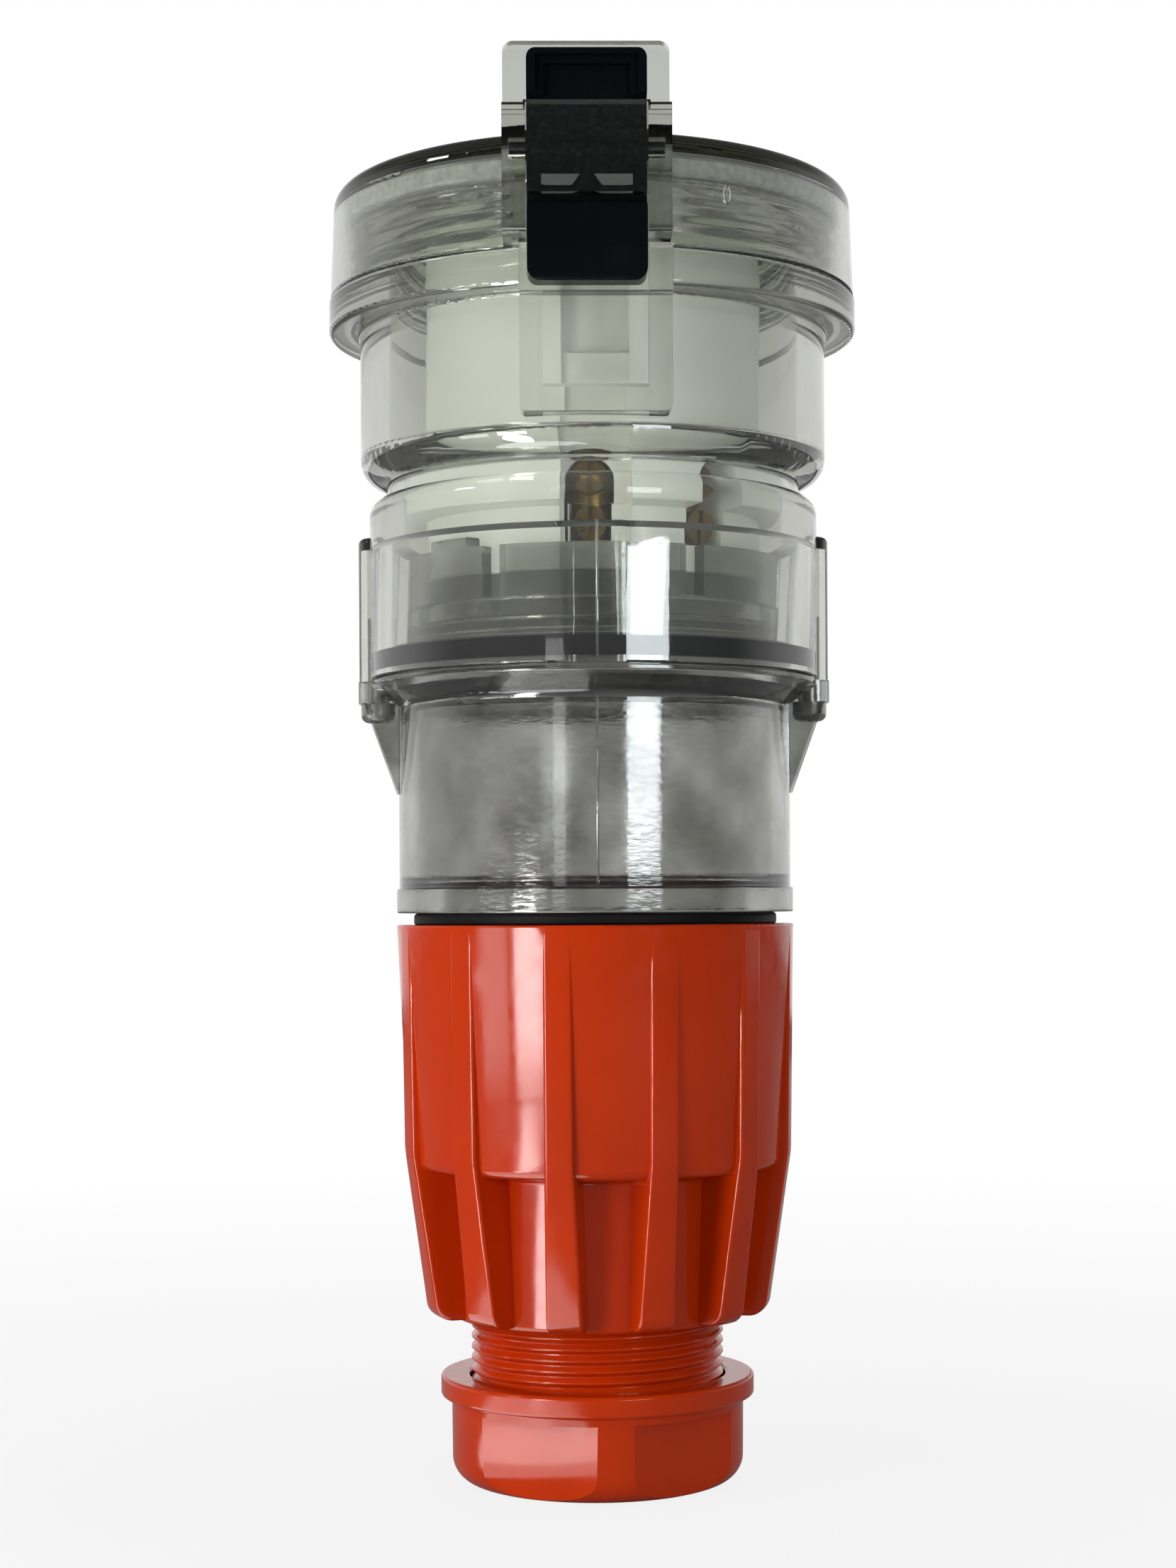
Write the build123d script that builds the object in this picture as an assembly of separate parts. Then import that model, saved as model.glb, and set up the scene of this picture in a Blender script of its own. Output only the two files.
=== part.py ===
"""Weatherproof extension socket: clear screw-ring body, hinged clear flap with a
rocker latch, white contact insert, ribbed back shell and cable gland.

Millimetres. +Z runs along the cable axis, up towards the flap. The origin is the
centre of the gland nut's bottom face. The latch faces -Y and the flap hinge is at +Y.
"""
import os
from math import cos, radians, sin

from build123d import *

# Clearances
hair = 0.05
slip = 0.2

# Lengths along the axis, from the cable end up
nut_length = 15.0
nut_flange_depth = 3.0
nut_floor = 3.5
washer_depth = 1.5
neck_engagement = 6.6
neck_bare_length = 6.5
seal_inset = 1.4
flute_length = 21.9
shell_length = 56.5
back_seal_depth = 1.6
spigot_length = 15.6
rear_flange_depth = 3.4
rear_length = 32.4
seal_seat = 1.3
body_seal_depth = 2.9
ledge_rise = 9.6
ledge_depth = 2.2
retainer_depth = 3.4
crown_height = 16.4
crown_tab_height = 1.4
insert_seat = 14.4
insert_flange_depth = 5.5
insert_length = 44.6
web_depth = 3.8
neck_length = 17.0
flange_depth = 4.8
ring_height = 9.6
flap_seal_depth = 3.2
flap_thickness = 2.5
plate_rise = 10.9

# Radii, walls and steps, from the inside out
cable_r = 8.5
gland_wall = 4.9
neck_wall = 3.6
thread_room = 0.95
nut_wall = 2.55
nut_flat_depth = 1.95
nut_flange_step = 1.5
nut_round = 3.5
shell_step = 3.2
flute_wall = 2.6
shell_r = 27.9
panel_step = 1.6
rib_foot_step = 3.8
rib_half_foot = 2.55
rib_half_top = 1.98
spigot_step = 4.1
spigot_wall = 2.4
lower_step = 0.4
lower_wall = 2.5
insert_r = 23.4
insert_flange_step = 2.9
groove_wall = 2.4
groove_depth = 3.7
mouth_wall = 4.0
ring_step = 1.0
ring_gap = 1.2
flap_wall = 1.9
flange_step = 0.2
crown_gap = 0.6
crown_wall = 2.2
ledge_width = 2.6
body_seal_width = 2.2
collar_wall = 3.0

# Counts and angles, in degrees from the front (-Y) towards +X
rib_count = 12
rib_phase = -11.4
nut_flat_angles = (-26.0, 38.0, 154.0, 218.0)
terminal_angles = (-2.0, 37.0, 202.5)
pin_angles = (-37.5, 82.5, 202.5)
pin_radii = (7.92, 7.92, 10.31)
retainer_screw_angles = (-47.0, 133.0)
crown_slot_angle = -31.0

# Terminals and pins in the insert
terminal_inset = 5.9
terminal_post_r = 3.0
terminal_height = 15.8
terminal_screw_heights = (6.2, 12.4)
window_foot = 3.6
pin_half_width = 3.3
pin_half_depth = 0.85
pin_pocket_depth = 16.2
contact_tip_depth = 16.6
retainer_screw_inset = 4.4
retainer_screw_reach = 9.0

# Side lugs, their webs and their screws
lug_inset = 1.0
lug_r = 2.65
lug_half_y = 3.7
lug_depth = 3.0
lug_height = 20.3
web_length = 12.8
lug_screw_r = 1.45
lug_screw_reach = 9.0
lug_head_r = 2.4
lug_head_depth = 2.6

# Front pad, lip, keyway and key
pad_half_x = 9.84
pad_inset = 0.9
lip_reach = 1.7
lip_drop = 1.5
keyway_half_x = 6.9
keyway_rise = 4.7
key_half_x = 3.75
key_reach = 0.9
key_length = 20.4

# Latch and its block on the flap
latch_x = -1.17
latch_half_x = 7.6
cheek_width = 2.95
cheek_gap = 0.15
block_reach = 7.1
bridge_depth = 1.8
bridge_rise = 5.0
bridge_over = 1.2
pivot_reach = 3.3
pivot_rise = 11.0
trunnion_r = 1.3
nose_half_x = 6.5
latch_drop = 1.0
latch_sink = 2.7
latch_gap = 2.3

# Flap hinge
hinge_reach = 3.7
hinge_drop = 1.8
knuckle_r = 3.2
knuckle_half_x = 5.4
hinge_pin_r = 1.5
hinge_half_x = 10.5

# Heights that follow
nut_top_z = nut_length
nut_flange_z = nut_top_z - nut_flange_depth
neck_end_z = nut_top_z - neck_engagement
shell_bottom_z = nut_top_z + neck_bare_length
seal_ledge_z = shell_bottom_z - 1.0
flute_top_z = shell_bottom_z + flute_length
shell_top_z = shell_bottom_z + shell_length
rear_bottom_z = shell_top_z + back_seal_depth
spigot_end_z = rear_bottom_z - spigot_length
rear_flange_z = rear_bottom_z + rear_flange_depth
split_z = rear_bottom_z + rear_length
seal_seat_z = split_z + seal_seat
ledge_z = split_z + ledge_rise
insert_bottom_z = ledge_z + retainer_depth
crown_z = split_z + crown_height
crown_tab_z = crown_z + crown_tab_height
web_bottom_z = insert_bottom_z + insert_seat
web_top_z = web_bottom_z + web_depth
insert_flange_z = web_bottom_z - insert_flange_depth
insert_face_z = insert_bottom_z + insert_length
flange_bottom_z = web_top_z + neck_length
flange_top_z = flange_bottom_z + flange_depth
ring_top_z = flange_top_z + ring_height
flap_under_z = ring_top_z + flap_seal_depth
flap_top_z = flap_under_z + flap_thickness
plate_top_z = flap_top_z + plate_rise
terminal_top_z = insert_bottom_z + terminal_height
lug_bottom_z = split_z - lug_depth
lug_top_z = split_z + lug_height
collar_bottom_z = split_z + slip

# Radii that follow
nut_hole_r = cable_r + 1.5
neck_bore_r = cable_r + gland_wall
neck_root_r = neck_bore_r + neck_wall
nut_bore_r = neck_root_r + thread_room
nut_r = nut_bore_r + nut_wall
nut_flat_r = nut_r - nut_flat_depth
nut_flange_r = nut_r + nut_flange_step
flute_floor_r = neck_root_r + shell_step
spigot_r = shell_r - spigot_step
spigot_bore_r = spigot_r - spigot_wall
lower_r = shell_r - lower_step
chamber_r = lower_r - lower_wall
insert_flange_r = insert_r + insert_flange_step
groove_r = insert_flange_r + slip + groove_wall
neck_r = groove_r + groove_depth
mouth_r = neck_r - mouth_wall
ring_r = neck_r + ring_step
flap_bore_r = ring_r + ring_gap
flap_r = flap_bore_r + flap_wall
flange_r = flap_r + flange_step
crown_bore_r = insert_r + crown_gap
crown_r = crown_bore_r + crown_wall
ledge_bore_r = crown_bore_r - ledge_width
collar_bore_r = crown_r + body_seal_width
collar_r = collar_bore_r + collar_wall
lug_x = collar_r - lug_inset
terminal_r = insert_r - terminal_inset
retainer_screw_r = insert_r - retainer_screw_inset

# Latch and hinge places that follow
block_half_x = latch_half_x + cheek_gap + cheek_width
bridge_y = (-flange_r - block_reach, -flange_r - block_reach + bridge_depth)
bridge_z = (flange_top_z + bridge_rise, flap_top_z + bridge_over)
latch_pivot = (-flange_r - pivot_reach, flange_top_z + pivot_rise)
catch_z = (flange_bottom_z + 0.4, flange_bottom_z + 2.7)
latch_z = (flange_bottom_z - latch_drop, plate_top_z - latch_sink)
hinge_y = flange_r + hinge_reach
hinge_z = flange_top_z - hinge_drop


def lathe(*corners):
    """Turn a closed outline about Z. A corner is (radius, height[, round])."""
    points = [corner[:2] for corner in corners]
    rounds = [corner[2] if len(corner) > 2 else 0 for corner in corners]
    outline = FilletPolyline(*points, radius=rounds, close=True)
    return revolve(Plane.XZ * make_face(outline), Axis.Z)


def block(x, y, z):
    """A box between two limits on each axis."""
    middle = Pos((x[0] + x[1]) / 2, (y[0] + y[1]) / 2, (z[0] + z[1]) / 2)
    return middle * Box(x[1] - x[0], y[1] - y[0], z[1] - z[0])


def rod(radius, z0, z1, x=0.0, y=0.0):
    """An upright round bar."""
    return Pos(x, y, (z0 + z1) / 2) * Cylinder(radius, z1 - z0)


def rod_x(radius, x0, x1, y, z):
    """A round bar along X."""
    return Pos((x0 + x1) / 2, y, z) * Rot(0, 90, 0) * Cylinder(radius, x1 - x0)


def rod_front(radius, y0, y1, z, x=0.0):
    """A round bar along Y."""
    return Pos(x, (y0 + y1) / 2, z) * Rot(90, 0, 0) * Cylinder(radius, y1 - y0)


def side_slab(outline, x0, x1):
    """A (y, z) outline made thick along X."""
    return extrude(Plane.YZ.offset(x0) * make_face(outline), x1 - x0)


def front_slab(outline, y_back, y_front):
    """An (x, z) outline made thick from y_back towards the front."""
    return extrude(Plane.XZ.offset(-y_back) * make_face(outline), y_back - y_front)


def turned(angle, shape):
    """Swing a shape built at the front to an angle towards +X."""
    return Rot(0, 0, angle) * shape


def around(radius, angle):
    """The (x, y) point at a radius and an angle from the front."""
    return radius * sin(radians(angle)), -radius * cos(radians(angle))


def strap(px, py, tx, ty, width, z0, z1):
    """A flat bar in plan between two points."""
    line = Line((px, py), (tx, ty))
    middle = line @ 0.5
    angle = Vector(1, 0, 0).get_signed_angle(line % 0.5, Vector(0, 0, 1))
    bar = block((-line.length / 2, line.length / 2), (-width / 2, width / 2), (z0, z1))
    return Pos(middle.X, middle.Y, 0) * Rot(0, 0, angle) * bar


def make_gland_nut():
    nut = lathe(
        (nut_hole_r, 0, 0.6),
        (nut_r - 0.1, 0, nut_round),
        (nut_r, nut_flange_z, 0.4),
        (nut_flange_r, nut_flange_z, 0.5),
        (nut_flange_r, nut_top_z, 0.5),
        (nut_bore_r, nut_top_z, 0.4),
        (nut_bore_r, nut_floor),
        (nut_hole_r, nut_floor),
    )
    flat = block((-nut_r, nut_r), (-2 * nut_r, -nut_flat_r), (-1, nut_flange_z - 1.2))
    for angle in nut_flat_angles:
        nut -= turned(angle, flat)
    return nut


def make_gland_washer():
    inner_r = cable_r + 0.7
    outer_r = neck_bore_r - slip
    top_z = nut_floor + washer_depth
    return lathe((inner_r, nut_floor), (outer_r, nut_floor), (outer_r, top_z, 0.3), (inner_r, top_z, 0.3))


def make_gland_seal():
    foot_z = neck_end_z + seal_inset
    return lathe(
        (cable_r, foot_z),
        (neck_bore_r - 1.2, foot_z),
        (neck_bore_r, foot_z + 1.8),
        (neck_bore_r, seal_ledge_z),
        (cable_r, seal_ledge_z),
    )


def make_back_shell():
    bore_r = spigot_r + 2 * slip
    bore_end_z = spigot_end_z - 2.0
    throat_r = neck_bore_r - 1.9
    cavity_r = flute_floor_r - flute_wall
    core = lathe(
        (neck_bore_r, neck_end_z),
        (neck_root_r, neck_end_z, 0.5),
        (neck_root_r, shell_bottom_z, 0.4),
        (flute_floor_r, shell_bottom_z, 0.8),
        (flute_floor_r + 0.5, flute_top_z - 0.8, 0.6),
        (shell_r - panel_step, flute_top_z, 0.9 * panel_step),
        (shell_r, shell_top_z, 0.3),
        (bore_r, shell_top_z, 0.4),
        (bore_r, bore_end_z),
        (spigot_r - 1.8, bore_end_z),
        (spigot_r - 1.8, bore_end_z - 3.0, 4.0),
        (cavity_r + 0.4, flute_top_z + 0.6, 4.0),
        (cavity_r, shell_bottom_z + 5.5, 2.0),
        (throat_r, shell_bottom_z + 2.1),
        (throat_r, seal_ledge_z),
        (neck_bore_r, seal_ledge_z),
    )
    rib_root_r = flute_floor_r - 1.2
    rib_foot_r = shell_r - rib_foot_step
    rib_foot_z = shell_bottom_z + 0.5
    rib_top_z = shell_top_z - 0.8
    envelope = lathe(
        (rib_root_r, rib_foot_z),
        (rib_foot_r, rib_foot_z, 0.5 * (rib_foot_r - rib_root_r)),
        (shell_r - 0.45, flute_top_z + 2.1, 8.0),
        (shell_r - 0.04, rib_top_z),
        (bore_r + 1.2, rib_top_z),
        (bore_r + 1.2, bore_end_z - 2.0),
        (flute_floor_r, flute_top_z - 0.4),
    )
    knee_z = flute_top_z + 2.6
    face = Polyline(
        (-rib_half_foot, shell_bottom_z - 0.5),
        (rib_half_foot, shell_bottom_z - 0.5),
        (rib_half_top, knee_z),
        (rib_half_top, shell_top_z + 2),
        (-rib_half_top, shell_top_z + 2),
        (-rib_half_top, knee_z),
        close=True,
    )
    rib = envelope & front_slab(face, 5.2 - flute_floor_r, -shell_r - 4.0)

    def is_long_edge(edge):
        middle = edge.center()
        depth = 3.0 if middle.Z < flute_top_z else 1.5
        return abs(middle.X) > 0.75 * rib_half_top and -middle.Y > shell_r - depth

    rib = fillet(rib.edges().filter_by(is_long_edge), 0.45)
    for k in range(rib_count):
        core += turned(rib_phase + 360 / rib_count * k, rib)
    return core


def make_back_seal():
    inner_r = spigot_r + 0.15
    outer_r = spigot_r + 1.7
    return lathe(
        (inner_r, shell_top_z),
        (outer_r, shell_top_z, 0.3),
        (outer_r, rear_bottom_z, 0.6),
        (inner_r, rear_bottom_z),
    )


def make_rear_housing():
    skirt_r = collar_r - 0.1
    step_r = collar_bore_r - slip
    floor_z = rear_flange_z + 0.2
    body = lathe(
        (spigot_bore_r, spigot_end_z),
        (spigot_r, spigot_end_z, 0.6),
        (spigot_r, rear_bottom_z),
        (shell_r, rear_bottom_z, 0.3),
        (shell_r, rear_flange_z, 0.35),
        (lower_r, rear_flange_z + 0.1),
        (lower_r, split_z - 3.4, 1.2),
        (skirt_r, split_z - 0.7, 0.3),
        (skirt_r, split_z, 0.15),
        (step_r, split_z),
        (step_r, seal_seat_z),
        (crown_r, seal_seat_z),
        (crown_r, crown_tab_z, 0.3),
        (crown_bore_r, crown_tab_z, 0.3),
        (crown_bore_r, ledge_z),
        (ledge_bore_r, ledge_z, 0.3),
        (ledge_bore_r, ledge_z - ledge_depth),
        (crown_bore_r, ledge_z - 2 * ledge_depth, 1.0),
        (crown_bore_r, split_z, 1.5),
        (chamber_r, split_z - 4.5, 1.5),
        (chamber_r, floor_z, 1.6),
        (spigot_bore_r, floor_z, 0.4),
    )
    over_z = crown_tab_z + 2.2
    trim = lathe(
        (crown_bore_r - 2.0, crown_z),
        (crown_r + 1.8, crown_z),
        (crown_r + 1.8, over_z),
        (crown_bore_r - 2.0, over_z),
    )
    tab = block((-3.4, 3.4), (-crown_r - 4.0, 0), (crown_z - 1, over_z + 1))
    for angle in retainer_screw_angles:
        trim -= turned(angle, tab)
    body -= trim
    slot = block((-1.35, 1.35), (-crown_r - 0.8, 1.0 - crown_bore_r), (ledge_z, over_z))
    for k in range(6):
        body -= turned(crown_slot_angle + 60 * k, slot)
    ear_in = chamber_r + 0.5
    ear = block((ear_in, lug_x + lug_r), (-lug_half_y, lug_half_y), (lug_bottom_z, split_z))
    ear = fillet(ear.edges().filter_by(Axis.Z).group_by(Axis.X)[-1], 2.0)
    web_foot_z = lug_bottom_z - web_length
    outline = Polyline(
        (ear_in, lug_bottom_z),
        (lug_x + 1.8, lug_bottom_z),
        (lower_r + 0.1, web_foot_z),
        (ear_in, web_foot_z),
        close=True,
    )
    web = extrude(Plane.XZ.offset(-0.55) * make_face(outline), 1.1)
    ear += Pos(0, lug_half_y - 0.6, 0) * web
    ear += Pos(0, 0.6 - lug_half_y, 0) * web
    ear -= rod(chamber_r + 1.0, web_foot_z - 1, split_z + 1)
    body += ear
    body += Rot(0, 0, 180) * ear
    for x in (lug_x, -lug_x):
        body -= rod(lug_screw_r + 0.25, lug_bottom_z - 1, split_z + 1, x, 0)
        body -= rod(lug_head_r + 0.1, lug_bottom_z - lug_head_depth - 0.4, lug_bottom_z, x, 0)
    return body


def make_body_seal():
    inner_r = crown_r + hair
    outer_r = collar_bore_r - hair
    top_z = seal_seat_z + body_seal_depth
    return lathe((inner_r, seal_seat_z), (outer_r, seal_seat_z), (outer_r, top_z, 0.4), (inner_r, top_z, 0.4))


def make_body_screws():
    foot_z = lug_bottom_z - lug_head_depth
    head = lathe((0, foot_z), (lug_head_r, foot_z, 1.1), (lug_head_r, lug_bottom_z), (0, lug_bottom_z))
    screw = head + rod(lug_screw_r, lug_bottom_z - 0.2, split_z + lug_screw_reach)
    screw -= block((-0.35, 0.35), (-1.6, 1.6), (foot_z - 0.4, foot_z + 1.0))
    screw -= block((-1.6, 1.6), (-0.35, 0.35), (foot_z - 0.4, foot_z + 1.0))
    return [Pos(lug_x, 0, 0) * screw, Pos(-lug_x, 0, 0) * screw]


def make_front_housing():
    shoulder_z = web_bottom_z - 2.4
    throat_r = insert_r + 0.3
    seat_r = insert_flange_r + slip
    body = lathe(
        (collar_bore_r, collar_bottom_z, 0.2),
        (collar_r, collar_bottom_z, 0.3),
        (collar_r, shoulder_z, 0.94 * (collar_r - groove_r)),
        (groove_r, shoulder_z + 0.4),
        (groove_r, web_bottom_z + 0.1),
        (neck_r, web_bottom_z + 0.1, 0.92 * groove_depth),
        (neck_r, flange_bottom_z, 0.5),
        (flange_r, flange_bottom_z, 0.7),
        (flange_r, flange_top_z, 0.4),
        (ring_r, flange_top_z, 0.3),
        (ring_r, ring_top_z, 0.6),
        (mouth_r, ring_top_z, 0.6),
        (mouth_r, web_top_z, 0.8),
        (throat_r, web_top_z),
        (throat_r, web_bottom_z),
        (seat_r, web_bottom_z),
        (seat_r, insert_flange_z - 2.9),
        (collar_bore_r, insert_flange_z - 3.9),
    )
    pad_foot_z = web_top_z + 0.8
    pad_outline = FilletPolyline(
        (-pad_half_x, pad_foot_z),
        (pad_half_x, pad_foot_z),
        (pad_half_x, flange_top_z),
        (-pad_half_x, flange_top_z),
        radius=(0.9, 0.9, 0, 0),
        close=True,
    )
    body += front_slab(pad_outline, -mouth_r - 0.9, pad_inset - flange_r)
    lip_y = (-flange_r - lip_reach, -neck_r - 1.4)
    lip = block((-pad_half_x, pad_half_x), lip_y, (flange_bottom_z - lip_drop, flange_top_z))
    body += fillet(lip.edges().group_by(Axis.Y)[0], 0.4)
    key_y = -collar_r - key_reach
    key = block((-key_half_x, key_half_x), (key_y, key_reach - collar_r), (collar_bottom_z, collar_bottom_z + key_length))
    key += block((-key_half_x, key_half_x), (key_y, -collar_r - 0.1), (split_z - 0.6, collar_bottom_z + 0.1))
    body += key
    knuckle = rod_x(knuckle_r, -knuckle_half_x, knuckle_half_x, hinge_y, hinge_z)
    knuckle += block((-knuckle_half_x, knuckle_half_x), (neck_r + 0.4, hinge_y), (flange_bottom_z, flange_top_z))
    body += knuckle
    boss = lathe((0, split_z), (lug_r, split_z), (lug_r, lug_top_z, 0.8), (0, lug_top_z))
    boss = Pos(lug_x, 0, 0) * boss - rod(collar_bore_r + 0.8, split_z - 10, web_bottom_z)
    body += boss
    body += Rot(0, 0, 180) * boss
    for x in (lug_x, -lug_x):
        body -= rod(lug_screw_r + hair, split_z - 10, lug_top_z - 1.7, x, 0)
    body -= rod_x(hinge_pin_r + hair, -knuckle_half_x - 2, knuckle_half_x + 2, hinge_y, hinge_z)
    keyway_z = (web_top_z + keyway_rise, ring_top_z + 1)
    body -= block((-keyway_half_x, keyway_half_x), (0.6 - neck_r, 3.4 - insert_r), keyway_z)
    catch_half_x = nose_half_x + 0.35
    catch_y = (-flange_r - lip_reach - 1.4, -flange_r)
    body -= block((latch_x - catch_half_x, latch_x + catch_half_x), catch_y, catch_z)
    return body


def make_socket_insert():
    body = lathe(
        (0, insert_bottom_z),
        (insert_r, insert_bottom_z, 0.4),
        (insert_r, insert_flange_z - 0.5),
        (insert_flange_r, insert_flange_z, 0.3),
        (insert_flange_r, web_bottom_z, 0.3),
        (insert_r, web_bottom_z),
        (insert_r, insert_face_z, 0.8),
        (0, insert_face_z),
    )
    under_z = insert_bottom_z - 5
    over_z = insert_face_z + 5
    outside_y = -insert_flange_r - 2
    body -= block((-4.5, 4.5), (outside_y, 1.2 - insert_r), (under_z, over_z))
    body -= block((-4.5, 4.5), (outside_y, 2.8 - insert_r), (insert_face_z - 15.8, over_z))
    pocket_z = insert_face_z - pin_pocket_depth
    window_z = (insert_bottom_z + window_foot, terminal_top_z - 3.8)
    window_half_x = terminal_post_r + 0.1
    for n in range(3):
        px, py = around(pin_radii[n], pin_angles[n])
        tx, ty = around(terminal_r, terminal_angles[n])
        spin = pin_angles[n] if n < 2 else pin_angles[n] + 90
        pin = Pos(px, py, 0) * Rot(0, 0, spin)
        slot_x = pin_half_width + slip
        slot_y = pin_half_depth + slip
        body -= pin * block((-slot_x, slot_x), (-slot_y, slot_y), (pocket_z - 3, over_z))
        body -= pin * block((-slot_x - 0.9, slot_x + 0.9), (-slot_y - 1.5, slot_y + 1.5), (under_z, pocket_z))
        body -= strap(px, py, tx, ty, 4.6, under_z, terminal_top_z + slip)
        body -= rod(window_half_x, under_z, terminal_top_z + slip, tx, ty)
        window = block((-window_half_x, window_half_x), (outside_y, -terminal_r), window_z)
        window += rod_front(window_half_x, outside_y, -terminal_r, window_z[1])
        body -= turned(terminal_angles[n], window)
    for angle in retainer_screw_angles:
        x, y = around(retainer_screw_r, angle)
        body -= rod(1.25, under_z, insert_bottom_z + retainer_screw_reach + 2.0, x, y)
    return body


def make_contact(n):
    px, py = around(pin_radii[n], pin_angles[n])
    tx, ty = around(terminal_r, terminal_angles[n])
    spin = pin_angles[n] if n < 2 else pin_angles[n] + 90
    strap_z = terminal_top_z - 1.6
    tip_z = insert_face_z - contact_tip_depth
    post = rod(terminal_post_r, insert_bottom_z + 0.1, terminal_top_z, tx, ty)
    contact = post + strap(px, py, tx, ty, 4.2, strap_z, terminal_top_z)
    pin = Pos(px, py, 0) * Rot(0, 0, spin)
    cup_x = pin_half_width + 0.7
    contact += pin * block((-cup_x, cup_x), (-pin_half_depth - 1.45, pin_half_depth + 1.45), (strap_z, tip_z))
    slit_z = (terminal_top_z + 1.0, tip_z + 1)
    contact -= pin * block((-pin_half_width, pin_half_width), (-pin_half_depth, pin_half_depth), slit_z)
    contact -= pin * block((-cup_x - 1, cup_x + 1), (-0.25, 0.25), slit_z)
    contact -= rod(terminal_post_r - 1.0, insert_bottom_z - 5, terminal_top_z - 2.0, tx, ty)
    for height in terminal_screw_heights:
        hole = rod_front(1.25, -terminal_r - terminal_post_r - 1.5, -terminal_r, insert_bottom_z + height)
        contact -= turned(terminal_angles[n], hole)
    return contact


def make_terminal_screws():
    seat_y = -terminal_r - terminal_post_r
    screws = []
    for n in range(3):
        for height in terminal_screw_heights:
            z = insert_bottom_z + height
            head = rod_front(2.3, seat_y - 2.0, seat_y, z)
            head -= block((-0.35, 0.35), (seat_y - 2.5, seat_y - 1.1), (z - 3, z + 3))
            screw = head + rod_front(1.2, seat_y - 1.0, -terminal_r - 1.0, z)
            screws.append(turned(terminal_angles[n], screw))
    return screws


def make_contact_retainer():
    plate_r = insert_r - 0.1
    plate = lathe(
        (0, ledge_z),
        (plate_r, ledge_z, 0.3),
        (plate_r, insert_bottom_z, 0.3),
        (0, insert_bottom_z),
    )
    for angle in terminal_angles:
        x, y = around(terminal_r, angle)
        plate -= rod(terminal_post_r - 0.7, ledge_z - 1, insert_bottom_z + 1, x, y)
    for angle in retainer_screw_angles:
        x, y = around(retainer_screw_r, angle)
        plate -= rod(1.4, ledge_z - 1, insert_bottom_z + 1, x, y)
    return plate


def make_retainer_screws():
    foot_z = ledge_z - 1.9
    head = lathe((0, foot_z), (2.1, foot_z, 0.9), (2.1, ledge_z), (0, ledge_z))
    screw = head + rod(1.2, ledge_z - 0.2, insert_bottom_z + retainer_screw_reach)
    screw -= block((-0.3, 0.3), (-1.4, 1.4), (foot_z - 1, foot_z + 0.8))
    screw -= block((-1.4, 1.4), (-0.3, 0.3), (foot_z - 1, foot_z + 0.8))
    return [Pos(*around(retainer_screw_r, a), 0) * screw for a in retainer_screw_angles]


def make_flap_cap():
    rim_z = flange_top_z + slip
    shell = lathe(
        (flap_bore_r, rim_z),
        (flap_r, rim_z, 0.3),
        (flap_r - 0.6, flap_top_z, 2.6),
        (0, flap_top_z),
        (0, flap_under_z),
        (flap_bore_r - slip, flap_under_z, 0.8),
    )
    bore = rod(flap_bore_r, flange_bottom_z, flap_under_z)
    cheek_back_y = 1.8 - flap_bore_r
    plate = block((-block_half_x, block_half_x), (0.3 - flap_r, 3.1 - flap_r), (flap_under_z, plate_top_z))
    plate = fillet(plate.edges().filter_by(Axis.Y).group_by(Axis.Z)[-1], 1.4)
    cheek_outline = FilletPolyline(
        (cheek_back_y, rim_z),
        (bridge_y[0], rim_z),
        (bridge_y[0], bridge_z[1]),
        (cheek_back_y, bridge_z[1]),
        radius=(0, 1.0, 1.2, 0),
        close=True,
    )
    cheek_in = latch_half_x + cheek_gap
    latch_block = side_slab(cheek_outline, cheek_in, block_half_x)
    latch_block += side_slab(cheek_outline, -block_half_x, -cheek_in)
    latch_block += block((-cheek_in - 0.25, cheek_in + 0.25), bridge_y, bridge_z)
    tab = Polyline((-2.3, 0), (1.5, 0), (2.3, 1.3), (-2.3, 1.3), close=True)
    tab = Pos(-3.2, 0, bridge_z[0] + 1.1) * front_slab(tab, bridge_y[1] + slip, bridge_y[1] - 0.1)
    latch_block += tab
    latch_block += mirror(tab, Plane.YZ)
    for side in (1, -1):
        ends = sorted((side * (cheek_in - 0.75), side * (block_half_x - 0.8)))
        latch_block -= rod_x(trunnion_r + 0.06, ends[0], ends[1], *latch_pivot)
    latch_block = Pos(latch_x, 0, 0) * (latch_block + plate)
    arm = Polyline(
        (flap_bore_r - 0.8, flange_top_z + 0.4),
        (flange_r + 0.5, flange_top_z + 0.4),
        (flange_r + 0.5, hinge_z),
        (hinge_y + knuckle_r, hinge_z),
        (hinge_y + knuckle_r, hinge_z + 2.0),
        (flap_r + 1.9, flap_top_z - 3.8),
        (flap_bore_r - 0.8, flap_top_z - 3.8),
        close=True,
    )
    ear_in = knuckle_half_x + 0.3
    ear = side_slab(arm, ear_in, hinge_half_x) + rod_x(knuckle_r, ear_in, hinge_half_x, hinge_y, hinge_z)
    ears = ear + mirror(ear, Plane.YZ)
    cap = shell + (latch_block - bore) + (ears - bore)
    return cap - rod_x(hinge_pin_r + hair, -hinge_half_x - 1.5, hinge_half_x + 1.5, hinge_y, hinge_z)


def make_flap_seal():
    inner_r = mouth_r + 0.8
    outer_r = flap_bore_r - 2 * slip
    return lathe(
        (inner_r, ring_top_z + hair, 0.5),
        (outer_r, ring_top_z + hair, 0.5),
        (outer_r, flap_under_z - 0.9),
        (outer_r - 0.8, flap_under_z),
        (inner_r, flap_under_z),
    )


def make_hinge_pin():
    return rod_x(hinge_pin_r, -hinge_half_x, hinge_half_x, hinge_y, hinge_z)


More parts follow.
